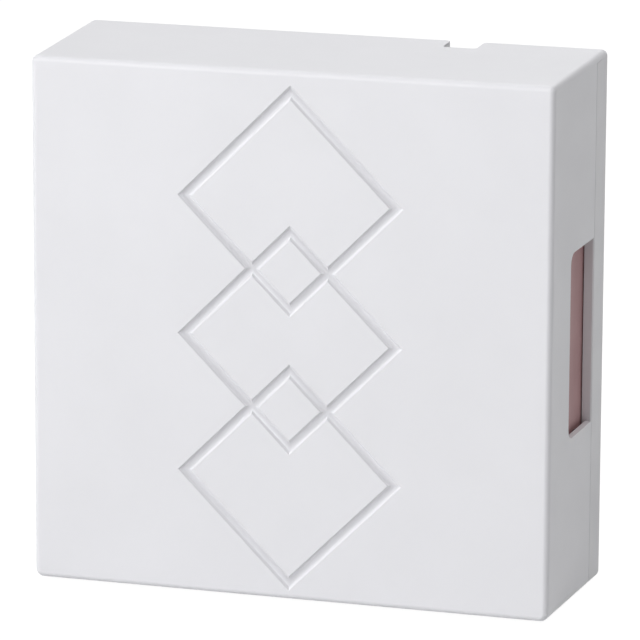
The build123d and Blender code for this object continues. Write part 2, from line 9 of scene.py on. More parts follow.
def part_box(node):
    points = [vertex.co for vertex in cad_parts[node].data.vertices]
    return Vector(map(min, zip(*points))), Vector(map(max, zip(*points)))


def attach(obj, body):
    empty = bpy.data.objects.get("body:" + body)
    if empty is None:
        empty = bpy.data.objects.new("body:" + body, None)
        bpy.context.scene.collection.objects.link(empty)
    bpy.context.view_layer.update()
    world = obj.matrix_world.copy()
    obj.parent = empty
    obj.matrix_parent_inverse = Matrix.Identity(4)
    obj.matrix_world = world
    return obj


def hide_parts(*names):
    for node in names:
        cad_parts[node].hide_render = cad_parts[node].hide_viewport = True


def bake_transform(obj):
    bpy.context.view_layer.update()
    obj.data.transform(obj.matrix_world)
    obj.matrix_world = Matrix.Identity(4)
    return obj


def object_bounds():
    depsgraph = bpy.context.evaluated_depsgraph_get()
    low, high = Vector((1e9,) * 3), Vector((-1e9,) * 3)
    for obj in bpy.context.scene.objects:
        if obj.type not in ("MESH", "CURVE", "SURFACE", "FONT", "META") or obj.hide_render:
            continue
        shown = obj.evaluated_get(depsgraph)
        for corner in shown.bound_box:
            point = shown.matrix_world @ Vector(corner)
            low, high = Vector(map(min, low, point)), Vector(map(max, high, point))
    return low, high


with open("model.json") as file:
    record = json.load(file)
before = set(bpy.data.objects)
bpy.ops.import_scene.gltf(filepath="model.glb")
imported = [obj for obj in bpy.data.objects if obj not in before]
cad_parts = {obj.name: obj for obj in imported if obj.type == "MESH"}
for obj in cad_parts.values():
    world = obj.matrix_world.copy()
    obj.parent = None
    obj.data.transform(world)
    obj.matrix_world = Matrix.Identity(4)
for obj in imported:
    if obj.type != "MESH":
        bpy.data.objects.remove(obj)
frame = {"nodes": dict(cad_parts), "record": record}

# Wall chime box, in metres in the frame of the CAD model: wall plane at Y = 0, front at -Y, Z up.
cadLow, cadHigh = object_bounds()
mm = 0.001
onPlane = 0.01 * mm  # how far off a plane still counts as on it
lozengeReach = 30  # the grooves end within this many millimetres from the middle
scene = bpy.context.scene


# Camera
photoCamera = {
    "place": (0.352986, -1.169607, 0.282291),
    "yaw": 17.061,  # degrees, to the left of straight at the wall
    "pitch": 13.261,  # degrees, downwards
    "roll": 0.264,
    "focalPixels": 5150,
    "imageSide": 640,
    "sensorWidth": 36,
}


def makeCamera(settings):
    lens = bpy.data.cameras.new("photoCamera")
    lens.sensor_width = settings["sensorWidth"]
    lens.lens = settings["focalPixels"] / settings["imageSide"] * settings["sensorWidth"]
    camera = bpy.data.objects.new("photoCamera", lens)
    scene.collection.objects.link(camera)
    yaw, pitch, roll = (math.radians(settings[key]) for key in ("yaw", "pitch", "roll"))
    camera.matrix_world = (
        Matrix.Translation(settings["place"])
        @ Matrix.Rotation(yaw, 4, "Z")
        @ Matrix.Rotation(math.pi / 2 - pitch, 4, "X")
        @ Matrix.Rotation(roll, 4, "Z")
    )
    scene.camera = camera


makeCamera(photoCamera)
print("camera placed")


# Materials
class Wire:
    # one output of a node; sums and products of wires add their Math nodes
    def __init__(self, recipe, socket):
        self.recipe = recipe
        self.socket = socket

    def combine(self, operation, first, second):
        return self.recipe.combine(operation, first, second)

    def __add__(self, other):
        return self.combine("ADD", self, other)

    def __radd__(self, other):
        return self.combine("ADD", other, self)

    def __sub__(self, other):
        return self.combine("SUBTRACT", self, other)

    def __rsub__(self, other):
        return self.combine("SUBTRACT", other, self)

    def __mul__(self, other):
        return self.combine("MULTIPLY", self, other)

    def __rmul__(self, other):
        return self.combine("MULTIPLY", other, self)

    def __truediv__(self, other):
        return self.combine("DIVIDE", self, other)

    def __pow__(self, other):
        return self.combine("POWER", self, other)


class Recipe:
    # the nodes of one material or world
    def __init__(self, owner):
        self.owner = owner
        owner.use_nodes = True
        self.tree = owner.node_tree
        self.tree.nodes.clear()
        self.place = self.node("ShaderNodeTexCoord", output="Object")

    def node(self, kind, settings=None, inputs=None, output=0):
        made = self.tree.nodes.new(kind)
        for key, value in (settings or {}).items():
            if key == "stops":
                ramp = made.color_ramp
                while len(ramp.elements) < len(value):
                    ramp.elements.new(0.5)
                for element, (position, colour) in zip(ramp.elements, value):
                    element.position = position
                    element.color = (*colour, 1)
            else:
                setattr(made, key, value)
        for key, value in (inputs or {}).items():
            if isinstance(value, Wire):
                self.tree.links.new(value.socket, made.inputs[key])
            else:
                made.inputs[key].default_value = value
        return Wire(self, made.outputs[output]) if made.outputs else None

    def combine(self, operation, first, second):
        return self.node("ShaderNodeMath", {"operation": operation}, {0: first, 1: second})

    def noise(self, size, detail=2.0, roughness=0.5, stretch=(1, 1, 1)):
        # size is the length of one blot in millimetres, stretch shortens it along each axis
        place = self.place
        if stretch != (1, 1, 1):
            place = self.node("ShaderNodeMapping", inputs={"Vector": place, "Scale": stretch})
        return self.node(
            "ShaderNodeTexNoise",
            inputs={"Vector": place, "Scale": 1 / (size * mm), "Detail": detail, "Roughness": roughness},
        )

    def spread(self, wire, low, high, fromLow=0.3, fromHigh=0.7):
        # maps the middle of a noise to the range from low to high
        return self.node(
            "ShaderNodeMapRange",
            {"clamp": True},
            {"Value": wire, "From Min": fromLow, "From Max": fromHigh, "To Min": low, "To Max": high},
        )

    def colours(self, factor, first, second):
        return self.node(
            "ShaderNodeMix",
            {"data_type": "RGBA"},
            {0: factor, 6: wide(first), 7: wide(second)},
            output=2,
        )

    def bump(self, height, depth, strength=1.0, below=None):
        # depth is the height of the relief in millimetres
        inputs = {"Height": height, "Distance": depth * mm, "Strength": strength}
        if below is not None:
            inputs["Normal"] = below
        return self.node("ShaderNodeBump", inputs=inputs)

    def surface(self, inputs):
        shader = self.node("ShaderNodeBsdfPrincipled", inputs=inputs)
        self.node("ShaderNodeOutputMaterial", inputs={"Surface": shader})
        return self.owner


def wide(colour):
    return colour if isinstance(colour, Wire) else (*colour, 1)


def lighter(colour, share):
    return tuple(min(1.0, part * (1 + share)) for part in colour)


plasticIndex = 1.53
coatRoughness = 0.15
lineShare = 0.6  # of the fine lines in a metal's roughness, beside its blotches
whiteMoulding = {
    "colour": (0.815, 0.815, 0.845),
    "mottle": 0.012,  # how much lighter and darker the colour runs
    "mottleSize": 24,
    "roughness": (0.40, 0.50),
    "handlingSize": 9,
    "grainSize": 0.45,
    "grainDepth": 0.012,
}


# Painted shade: the cover's colour darkened deep in the hollows of the front's grooves, standing in for the
# shade there
paintedGrooveShade = {
    "colour": (0.69, 0.69, 0.722),
    "depths": (0.4, 0.75),  # where it begins and where it is full
    "behind": 1.2,  # deeper than the grooves, short of the inner face
    "halfHeight": 61,
}


# where the painted shade is laid: deep in the hollows of the front's grooves, within the lozenges
def paintedGrooveShadeMask(recipe, paintedShade):
    x, y, z = (recipe.node("ShaderNodeSeparateXYZ", inputs={0: recipe.place}, output=axis)
               for axis in range(3))
    front = cadLow.y
    begins, full = paintedShade["depths"]
    inside = recipe.spread(y, 0, 1, front + begins * mm, front + full * mm)
    above = recipe.combine("LESS_THAN", y, front + paintedShade["behind"] * mm)
    across = recipe.combine("LESS_THAN", recipe.combine("ABSOLUTE", x, 0.0), lozengeReach * mm)
    along = recipe.combine("LESS_THAN", recipe.combine("ABSOLUTE", z, 0.0), paintedShade["halfHeight"] * mm)
    return inside * above * across * along


def mouldedPlastic(name, settings, paintedShade=None):
    recipe = Recipe(bpy.data.materials.new(name))
    colour = settings["colour"]
    mottle = recipe.noise(settings["mottleSize"], 3)
    grain = recipe.noise(settings["grainSize"], 3, 0.6)
    handling = recipe.noise(settings["handlingSize"], 4, 0.6)
    tint = recipe.colours(
        recipe.spread(mottle, 0, 1),
        lighter(colour, -settings["mottle"]),
        lighter(colour, settings["mottle"]),
    )
    # painted shade: the grooves' hollows darkened in colour
    if paintedShade:
        tint = recipe.colours(paintedGrooveShadeMask(recipe, paintedShade), tint, paintedShade["colour"])
    return recipe.surface({
        "Base Color": tint,
        "Roughness": recipe.spread(handling, *settings["roughness"]),
        "IOR": plasticIndex,
        "Normal": recipe.bump(grain, settings["grainDepth"]),
    })


def rolledMetal(name, settings):
    # sheet, wire or turned metal with fine lines along one axis and blotches in its plating
    recipe = Recipe(bpy.data.materials.new(name))
    colour = settings["colour"]
    lines = recipe.noise(settings["lineSize"], 3, 0.6, settings["lineStretch"])
    blotches = recipe.noise(settings["blotchSize"], 4, 0.6)
    tint = recipe.colours(recipe.spread(blotches, 0, 1), colour, settings["tint"])
    return recipe.surface({
        "Base Color": tint,
        "Metallic": settings["metallic"],
        "Roughness": recipe.spread(lines * lineShare + blotches * (1 - lineShare), *settings["roughness"]),
        "Coat Weight": settings.get("coat", 0.0),
        "Coat Roughness": coatRoughness,
        "Normal": recipe.bump(lines, settings["lineDepth"]),
    })


coverWhite = mouldedPlastic("coverWhite", whiteMoulding, paintedGrooveShade)
baseWhite = mouldedPlastic("baseWhite", {**whiteMoulding, "colour": (0.78, 0.78, 0.805)})
nylon = mouldedPlastic("naturalNylon", {
    **whiteMoulding, "colour": (0.72, 0.70, 0.62), "roughness": (0.35, 0.5), "grainSize": 0.3,
    "mottleSize": 6,
})
blackPhenolic = mouldedPlastic("blackPhenolic", {
    **whiteMoulding, "colour": (0.022, 0.022, 0.024), "mottle": 0.2, "roughness": (0.22, 0.36),
    "grainDepth": 0.006,
})
grommetRubber = mouldedPlastic("grommetRubber", {
    **whiteMoulding, "colour": (0.02, 0.02, 0.02), "mottle": 0.3, "roughness": (0.55, 0.75),
    "grainDepth": 0.01,
})
redInsulation = mouldedPlastic("redInsulation", {
    **whiteMoulding, "colour": (0.42, 0.02, 0.018), "roughness": (0.3, 0.45), "grainDepth": 0.004,
})
whiteInsulation = mouldedPlastic("whiteInsulation", {
    **whiteMoulding, "colour": (0.74, 0.74, 0.72), "roughness": (0.3, 0.45), "grainDepth": 0.004,
})
barLacquer = rolledMetal("barLacquer", {
    "colour": (0.46, 0.265, 0.27), "tint": (0.415, 0.235, 0.24), "metallic": 0.05, "roughness": (0.5, 0.64),
    "lineSize": 0.25, "lineStretch": (1, 1, 0.03), "lineDepth": 0.004, "blotchSize": 14, "coat": 0.1,
})
zincPlate = rolledMetal("zincPlate", {
    "colour": (0.60, 0.61, 0.64), "tint": (0.66, 0.64, 0.58), "metallic": 1.0, "roughness": (0.26, 0.44),
    "lineSize": 0.2, "lineStretch": (0.05, 1, 1), "lineDepth": 0.003, "blotchSize": 5,
})
turnedSteel = rolledMetal("turnedSteel", {
    "colour": (0.50, 0.50, 0.51), "tint": (0.42, 0.41, 0.40), "metallic": 1.0, "roughness": (0.22, 0.36),
    "lineSize": 0.18, "lineStretch": (1, 0.02, 0.02), "lineDepth": 0.003, "blotchSize": 7,
})
springWire = rolledMetal("springWire", {
    "colour": (0.58, 0.58, 0.60), "tint": (0.48, 0.48, 0.50), "metallic": 1.0, "roughness": (0.2, 0.34),
    "lineSize": 0.3, "lineStretch": (1, 1, 1), "lineDepth": 0.002, "blotchSize": 3,
})
brassMetal = rolledMetal("brassMetal", {
    "colour": (0.70, 0.53, 0.24), "tint": (0.60, 0.42, 0.17), "metallic": 1.0, "roughness": (0.24, 0.42),
    "lineSize": 0.2, "lineStretch": (0.04, 1, 1), "lineDepth": 0.003, "blotchSize": 4,
})
copperEnamel = rolledMetal("copperEnamel", {
    "colour": (0.60, 0.22, 0.08), "tint": (0.48, 0.15, 0.05), "metallic": 0.9, "roughness": (0.22, 0.36),
    "lineSize": 0.3, "lineStretch": (1, 1, 1), "lineDepth": 0.002, "blotchSize": 6, "coat": 0.5,
})
tinned = rolledMetal("tinned", {
    "colour": (0.66, 0.66, 0.67), "tint": (0.54, 0.54, 0.55), "metallic": 1.0, "roughness": (0.18, 0.4),
    "lineSize": 0.3, "lineStretch": (1, 1, 1), "lineDepth": 0.004, "blotchSize": 1.5,
})
print("materials made")


# Shared steps for pieces
bodyOf = {node: body for body, nodes in frame["record"]["behaviour"]["bodies"].items() for node in nodes}
right = Vector((1, 0, 0))
forward = Vector((0, -1, 0))
up = Vector((0, 0, 1))
mergeGap = {"copied": 0.002, "made": 0.001}  # points nearer than this become one
seamAngle = 0.5  # degrees, below which a seam of a CAD mesh is dissolved
wireSmoothAngle = 70  # degrees, for the sides of thin wires


def copyOf(node):
    # the merged mesh of a CAD node, without the seams inside its flat faces
    bm = bmesh.new()
    bm.from_mesh(frame["nodes"][node].data)
    bmesh.ops.remove_doubles(bm, verts=bm.verts, dist=mergeGap["copied"] * mm)
    bmesh.ops.dissolve_limit(bm, angle_limit=math.radians(seamAngle), verts=bm.verts, edges=bm.edges)
    return bm


def roundEdges(bm, width, angle=40, steps=2, chosen=lambda edge: True):
    # bevels the chosen edges that turn by more than the angle, in degrees
    sharp = [edge for edge in bm.edges
             if len(edge.link_faces) == 2 and edge.calc_face_angle() > math.radians(angle) and chosen(edge)]
    bmesh.ops.bevel(bm, geom=sharp, offset=width * mm, offset_type="OFFSET", affect="EDGES", segments=steps,
                    profile=0.5, clamp_overlap=True, material=-1)


def turn(bm, outline, centre, axis=right, out=up, steps=40, ring=False):
    # turns an outline of (place along the axis, radius) in millimetres; a ring's outline closes on itself
    verts = [bm.verts.new(centre + (axis * along + out * radius) * mm) for along, radius in outline]
    edges = [bm.edges.new(pair) for pair in zip(verts, verts[1:])]
    if ring:
        edges.append(bm.edges.new((verts[-1], verts[0])))
    bmesh.ops.spin(bm, geom=verts + edges, cent=centre, axis=axis, angle=2 * math.pi, steps=steps,
                   use_merge=True)


def wireRing(bm, centre, axis, out, coilRadius, wireRadius, sides, capped):
    # the verts and edges of a wire's section, on the side of the axis that out points to
    section = Matrix((out, axis, out.cross(axis))).transposed().to_4x4()
    section.translation = centre + out * coilRadius * mm
    made = bmesh.ops.create_circle(bm, cap_ends=capped, segments=sides, radius=wireRadius * mm,
                                   matrix=section)
    return list(made["verts"]) + list({edge for vert in made["verts"] for edge in vert.link_edges})


def windWire(bm, centre, axis, out, coilRadius, wireRadius, stages, sides=8, steps=24):
    # winds a closed wire about the axis; stages are (turns, pitch)
    last = wireRing(bm, centre, axis, out, coilRadius, wireRadius, sides, True)
    for turns, pitch in stages:
        made = bmesh.ops.spin(bm, geom=last, cent=centre, axis=axis, dvec=axis * pitch * mm / steps,
                              angle=2 * math.pi * turns, steps=round(turns * steps))
        last = made["geom_last"]
    bmesh.ops.contextual_create(bm, geom=[part for part in last if isinstance(part, bmesh.types.BMEdge)])


def tubeAlong(bm, points, radius, sides=3, steps=8):
    # a round tube with closed ends along a smooth line through the control points
    curve = bpy.data.curves.new("line", "CURVE")
    curve.dimensions = "3D"
    line = curve.splines.new("NURBS")
    line.points.add(len(points) - 1)
    for knot, place in zip(line.points, points):
        knot.co = (*place, 1)
    line.order_u = 3
    line.use_endpoint_u = True
    line.resolution_u = steps
    curve.bevel_depth = radius * mm
    curve.bevel_resolution = sides
    curve.use_fill_caps = True
    holder = bpy.data.objects.new("line", curve)
    mesh = bpy.data.meshes.new_from_object(holder)
    bm.from_mesh(mesh)
    bpy.data.objects.remove(holder)
    bpy.data.curves.remove(curve)
    bpy.data.meshes.remove(mesh)


def closeUp(bm):
    bmesh.ops.remove_doubles(bm, verts=bm.verts, dist=mergeGap["made"] * mm)
    bmesh.ops.recalc_face_normals(bm, faces=bm.faces)


def addPiece(name, bm, material, like, replaces=True, smoothAngle=38):
    # like is the CAD node that the piece stands for, hidden when replaces says that the piece takes its
    # place
    for face in bm.faces:
        face.smooth = True
    for edge in bm.edges:
        edge.smooth = len(edge.link_faces) == 2 and edge.calc_face_angle() < math.radians(smoothAngle)
    mesh = bpy.data.meshes.new(name)
    bm.to_mesh(mesh)
    bm.free()
    mesh.materials.append(material)
    piece = bpy.data.objects.new(name, mesh)
    scene.collection.objects.link(piece)
    if replaces:
        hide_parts(like)
    return piece


def finishPiece(piece, body):
    shading = piece.modifiers.new("evenShading", "WEIGHTED_NORMAL")
    shading.keep_sharp = True
    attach(piece, body)


# Cover
coverShell = {
    "edgeWidth": 0.22,
    "lipWidth": 0.16,  # rounding of the grooves' lips
    "lipAngle": 10,  # degrees, the least turn of an edge that is a lip
    "lipSteps": 3,
    "grooveRoom": 1.0,  # the grooves and their lips lie within this depth
    "frontRoom": 5.0,  # and the whole front within this one
    "ejectorRadius": 3.0,
    "ejectorRise": 0.15,
    "ejectorSteps": 32,
    "ejectorPlaces": [(x, z) for x in (-50, 50) for z in (-40, 0, 40)] + [(0, -48), (0, 48)],
}


def makeCover(settings):
    bm = copyOf("cover")

    def nearFront(vert, depth):
        return vert.co.y < cadLow.y + depth and abs(vert.co.x) < lozengeReach * mm

    def onFront(edge):
        return all(nearFront(vert, onPlane) for vert in edge.verts)

    def elsewhere(edge):
        return not any(nearFront(vert, settings["grooveRoom"] * mm) for vert in edge.verts)

    roundEdges(bm, settings["lipWidth"], settings["lipAngle"], settings["lipSteps"], onFront)
    roundEdges(bm, settings["edgeWidth"], chosen=elsewhere)
    innerFace = max(vert.co.y for vert in bm.verts if nearFront(vert, settings["frontRoom"] * mm))
    for x, z in settings["ejectorPlaces"]:
        # marks of the ejector pins on the inner face
        place = Matrix.Translation((x * mm, innerFace, z * mm)) @ Matrix.Rotation(math.pi / 2, 4, "X")
        radius = settings["ejectorRadius"] * mm
        bmesh.ops.create_cone(bm, cap_ends=True, segments=settings["ejectorSteps"], radius1=radius,
                              radius2=radius, depth=2 * settings["ejectorRise"] * mm, matrix=place)
    finishPiece(addPiece("coverShell", bm, coverWhite, "cover"), bodyOf["cover"])


makeCover(coverShell)
print("cover made")


# Base plate, whose rims stay sharp beside the bars and where they meet the cover's top and bottom walls
wallPlate = {
    "edgeWidth": 0.2,
    "endsFrom": 62.0,  # the rims' ends lie farther than this above and below the middle
    "rimInside": (62.2, 62.6),  # the rims' inner faces lie between these, to each side
}


def makePlate(settings):
    bm = copyOf("base_plate")
    inside, outside = settings["rimInside"]

    def openEdge(edge):
        atEnd = all(abs(vert.co.z) > settings["endsFrom"] * mm for vert in edge.verts)
        atBar = all(inside * mm < abs(vert.co.x) < outside * mm for vert in edge.verts)
        return not atEnd and not atBar

    roundEdges(bm, settings["edgeWidth"], chosen=openEdge)
    finishPiece(addPiece("wallPlate", bm, baseWhite, "base_plate"), bodyOf["base_plate"])


makePlate(wallPlate)
print("base plate made")


# Pieces that keep the CAD shape and get their edges broken
brokenEdges = [
    {"name": "toneBarRight", "node": "tone_bar_right", "width": 0.25, "material": barLacquer},
    {"name": "toneBarLeft", "node": "tone_bar_left", "width": 0.25, "material": barLacquer},
    {"name": "spool", "node": "coil_bobbin", "width": 0.2, "material": nylon},
    {"name": "yokeCover", "node": "yoke_cover", "width": 0.14, "material": zincPlate},
    {"name": "plungerCore", "node": "plunger", "width": 0.1, "material": turnedSteel},
    {"name": "strikerRight", "node": "striker_right", "width": 0.18, "material": nylon},
    {"name": "strikerLeft", "node": "striker_left", "width": 0.18, "material": nylon},
    {"name": "terminalBlock", "node": "terminal_block", "width": 0.25, "material": blackPhenolic},
    {"name": "terminalPlates", "node": "terminal_plates", "width": 0.12, "material": brassMetal},
    {"name": "terminalClamps", "node": "terminal_clamps", "width": 0.14, "material": zincPlate},
    {"name": "terminalScrews", "node": "terminal_screws", "width": 0.09, "material": brassMetal},
    {"name": "blockScrews", "node": "block_screws", "width": 0.09, "material": zincPlate},
    {"name": "yokeScrews", "node": "yoke_screws", "width": 0.09, "material": zincPlate},
]
for settings in brokenEdges:
    bm = copyOf(settings["node"])
    roundEdges(bm, settings["width"])
    piece = addPiece(settings["name"], bm, settings["material"], settings["node"])
    finishPiece(piece, bodyOf[settings["node"]])
print("sheet parts, screws and mouldings made")


# Yoke frame with its tabs staked over the cover plate
yokeFrame = {"edgeWidth": 0.14, "stakeInset": 0.4, "stakeDepth": 0.3, "facesFront": -0.9}


def makeYoke(settings):
    bm = copyOf("yoke_frame")
    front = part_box("yoke_frame")[0].y
    tabs = [face for face in bm.faces
            if face.normal.y < settings["facesFront"] and face.calc_center_median().y < front + onPlane]
    bmesh.ops.inset_individual(bm, faces=tabs, thickness=settings["stakeInset"] * mm,
                               depth=-settings["stakeDepth"] * mm)
    roundEdges(bm, settings["edgeWidth"])
    finishPiece(addPiece("yokeFrame", bm, zincPlate, "yoke_frame"), bodyOf["yoke_frame"])


makeYoke(yokeFrame)


# Rubber grommets and the pins that carry them, turned about X
grommet = {
    "hubRadius": 2.6,
    "shoulderRadius": 3.9,
    "rimRadius": 4.45,
    "fullRadius": 4.5,
    "edgeHeights": (0.05, 0.14, 0.28),  # over the flange's outer face: shoulder, rim and full radius
    "innerRounding": 0.12,
    "waistRadius": 2.75,
    "steps": 48,
}
pin = {"radius": 1.5, "chamfer": 0.3, "centreMark": 0.4, "markDepth": 0.25, "steps": 36}


def nodePlaces(node, radius):
    # the middles of the two round solids of a node, one above the other
    low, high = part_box(node)
    return [Vector(((low.x + high.x) / 2, (low.y + high.y) / 2, z))
            for z in (low.z + radius * mm, high.z - radius * mm)]


def makeGrommets(side):
    node = f"grommets_{side}"
    low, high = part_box(node)
    barLow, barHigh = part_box(f"tone_bar_{side}")
    length = (high.x - low.x) / mm
    barThickness = (barHigh.x - barLow.x) / mm
    flange = (length - barThickness) / 2
    rise = grommet["edgeHeights"]
    half = [
        (0, pin["radius"]),
        (0, grommet["hubRadius"]),
        (rise[0], grommet["shoulderRadius"]),
        (rise[1], grommet["rimRadius"]),
        (rise[2], grommet["fullRadius"]),
        (flange, grommet["fullRadius"] - grommet["innerRounding"]),
        (flange, grommet["waistRadius"]),
    ]
    outline = [(along - length / 2, radius) for along, radius in half]
    outline += [(-along, radius) for along, radius in reversed(outline)]
    bm = bmesh.new()
    for centre in nodePlaces(node, grommet["fullRadius"]):
        turn(bm, outline, centre, ring=True, steps=grommet["steps"])
    closeUp(bm)
    finishPiece(addPiece(f"grommets{side.title()}", bm, grommetRubber, node), bodyOf[node])


def makePins(side, sign):
    node = f"bar_pins_{side}"
    low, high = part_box(node)
    reach = (high.x - low.x) / mm / 2
    outline = [
        (-reach, 0),
        (-reach, pin["radius"]),
        (reach - pin["chamfer"], pin["radius"]),
        (reach, pin["radius"] - pin["chamfer"]),
        (reach, pin["centreMark"]),
        (reach - pin["markDepth"], 0),
    ]
    bm = bmesh.new()
    for centre in nodePlaces(node, pin["radius"]):
        turn(bm, outline, centre, axis=right * sign, steps=pin["steps"])
    closeUp(bm)
    finishPiece(addPiece(f"pins{side.title()}", bm, zincPlate, node), bodyOf[node])


for side, sign in (("right", 1), ("left", -1)):
    makeGrommets(side)
    makePins(side, sign)
print("grommets and pins made")


# Winding: one visible layer of wire over a plain core, with its two ends wrapped round the tags
winding = {
    "wireRadius": 0.16,
    "pitch": 0.325,
    "sides": 6,
    "stepsPerTurn": 30,
    "endGap": 0.01,
    "coreOverlap": 0.06,  # of the core and the wires
    "boreGap": 0.9,  # between the guide tube and the core's bore
    "coreSteps": 60,
}
leadOut = {
    "wireRadius": 0.1,
    "wrapTurns": 4,
    "wrapPitch": 0.24,
    "wrapSides": 6,
    "wrapSteps": 16,
    "waySides": 1,
    "waySteps": 5,
    "lift": 0.05,  # of the wrapped turns over the lug
    "flangeGap": 0.28,
    # a wire's way: inwards from the flange, sideways from its tag, above the winding or the lug
    "overWinding": [(0.5, 2.4, -0.5), (0, 1.2, 0.1), (0, 0, 1.4)],
    "overLug": [(0, 0, 0.35), (-0.35, 0, 0.3)],
}
axisLow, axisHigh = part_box("guide_tube")
coilAxis = (axisLow + axisHigh) / 2
tagLow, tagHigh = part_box("coil_tags")
tagRadius = (tagHigh.x - tagLow.x) / 2 / mm
tagX = (tagLow.x + tagHigh.x) / 2
tagPlaces = [Vector((tagX, y, tagHigh.z)) for y in (tagHigh.y - tagRadius * mm, tagLow.y + tagRadius * mm)]
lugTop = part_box("coil_bobbin")[1].z


def makeWinding(settings):
    low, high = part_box("coil_winding")
    length, radius = (high.x - low.x) / mm, (high.z - low.z) / 2 / mm
    wire = settings["wireRadius"]
    turns = math.floor((length - 2 * wire) / settings["pitch"])
    pitch = (length - 2 * wire - 2 * settings["endGap"]) / turns
    bm = bmesh.new()
    start = Vector((low.x + (wire + settings["endGap"]) * mm, coilAxis.y, coilAxis.z))
    ring = wireRing(bm, start, right, forward, radius - wire, wire, settings["sides"], False)
    steps = settings["stepsPerTurn"]
    bmesh.ops.spin(bm, geom=ring, cent=start, axis=right, dvec=right * pitch * mm / steps, angle=2 * math.pi,
                   steps=steps)
    oneTurn = bm.verts[:] + bm.edges[:] + bm.faces[:]
    for index in range(1, turns):
        made = bmesh.ops.duplicate(bm, geom=oneTurn)
        moved = [part for part in made["geom"] if isinstance(part, bmesh.types.BMVert)]
        bmesh.ops.translate(bm, verts=moved, vec=right * index * pitch * mm)
    closeUp(bm)
    bmesh.ops.holes_fill(bm, edges=[edge for edge in bm.edges if edge.is_boundary])
    core = radius - 2 * wire + settings["coreOverlap"]
    half = length / 2
    bore = (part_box("guide_tube")[1].z - coilAxis.z) / mm + settings["boreGap"]
    outline = [(-half, bore), (-half, core), (half, core), (half, bore)]
    turn(bm, outline, coilAxis, ring=True, steps=settings["coreSteps"])
    closeUp(bm)
    piece = addPiece("winding", bm, copperEnamel, "coil_winding", smoothAngle=wireSmoothAngle)
    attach(piece, bodyOf["coil_winding"])


def makeLeadOuts(settings):
    bm = bmesh.new()
    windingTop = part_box("coil_winding")[1]
    wire = settings["wireRadius"]
    for place, lean in zip(tagPlaces, (1, -1)):
        foot = Vector((place.x, place.y, lugTop + (wire + settings["lift"]) * mm))
        wrapRadius = tagRadius + wire
        windWire(bm, foot, up, -right, wrapRadius, wire, [(settings["wrapTurns"], settings["wrapPitch"])],
                 settings["wrapSides"], settings["wrapSteps"])
        inner = windingTop.x - settings["flangeGap"] * mm
        way = []
        for level, steps in ((windingTop.z, settings["overWinding"]), (lugTop, settings["overLug"])):
            way += [Vector((inner - inwards * mm, place.y - lean * aside * mm, level + rise * mm))
                    for inwards, aside, rise in steps]
        way.append(foot - right * wrapRadius * mm)
        tubeAlong(bm, way, wire, settings["waySides"], settings["waySteps"])
    piece = addPiece("windingEnds", bm, copperEnamel, "coil_winding", replaces=False,
                     smoothAngle=wireSmoothAngle)
    finishPiece(piece, bodyOf["coil_winding"])


makeWinding(winding)
makeLeadOuts(leadOut)


# Tags, each with its bead of solder round the end of the lead
tag = {"tipRound": 0.1, "steps": 20}
solder = {
    "outline": [(-2.4, 0.42), (-1.7, 0.52), (-0.85, 0.78), (-0.1, 0.95), (0.5, 0.85), (1.05, 0.62),
                (1.3, 0.4)],
    "steps": 24,
}


def makeTags():
    bm = bmesh.new()
    length = (tagHigh.z - tagLow.z) / mm
    outline = [(-length, 0), (-length, tagRadius), (-tag["tipRound"], tagRadius), (0, 0)]
    for place in tagPlaces:
        turn(bm, outline, place, up, right, tag["steps"])
    closeUp(bm)
    finishPiece(addPiece("tags", bm, tinned, "coil_tags"), bodyOf["coil_tags"])


def makeSolder(settings):
    # an outline of (height above the tag's tip, radius)
    bm = bmesh.new()
    outline = settings["outline"]
    closed = [(outline[0][0], 0)] + outline + [(outline[-1][0], 0)]
    for place in tagPlaces:
        turn(bm, closed, place, up, right, settings["steps"])
    closeUp(bm)
    finishPiece(addPiece("solderBeads", bm, tinned, "coil_tags", replaces=False), bodyOf["coil_tags"])


makeTags()
makeSolder(solder)


# Brass guide tube with rolled ends
guide = {"wall": 0.4, "endRound": 0.13, "steps": 56}


def makeGuide(settings):
    half = (axisHigh.x - axisLow.x) / 2 / mm
    outer = (axisHigh.z - axisLow.z) / 2 / mm
    inner = outer - settings["wall"]
    soft = settings["endRound"]
    outline = [
        (-half, inner + soft), (-half, outer - soft), (-half + soft, outer),
        (half - soft, outer), (half, outer - soft), (half, inner + soft),
        (half - soft, inner), (-half + soft, inner),
    ]
    bm = bmesh.new()
    turn(bm, outline, coilAxis, ring=True, steps=settings["steps"])
    closeUp(bm)
    finishPiece(addPiece("guideTube", bm, brassMetal, "guide_tube"), bodyOf["guide_tube"])


makeGuide(guide)
print("solenoid made")


# Return spring, which stretches between the yoke and the plunger's collar
spring = {"wireRadius": 0.3, "endPitch": 0.9, "turns": 9, "sides": 10, "stepsPerTurn": 32, "smoothAngle": 60}


def makeSpring(settings):
    low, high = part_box("return_spring")
    wire = settings["wireRadius"]
    coil = (high.z - low.z) / 2 / mm - wire
    travel = (high.x - low.x) / mm - 2 * wire
    middlePitch = (travel - 2 * settings["endPitch"]) / (settings["turns"] - 2)
    start = Vector((high.x - wire * mm, coilAxis.y, coilAxis.z))
    stages = [(1, -settings["endPitch"]), (settings["turns"] - 2, -middlePitch), (1, -settings["endPitch"])]
    bm = bmesh.new()
    windWire(bm, start, right, -forward, coil, wire, stages, settings["sides"], settings["stepsPerTurn"])
    closeUp(bm)
    piece = addPiece("returnSpring", bm, springWire, "return_spring", smoothAngle=settings["smoothAngle"])
    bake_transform(piece)


makeSpring(spring)
print("spring wound")


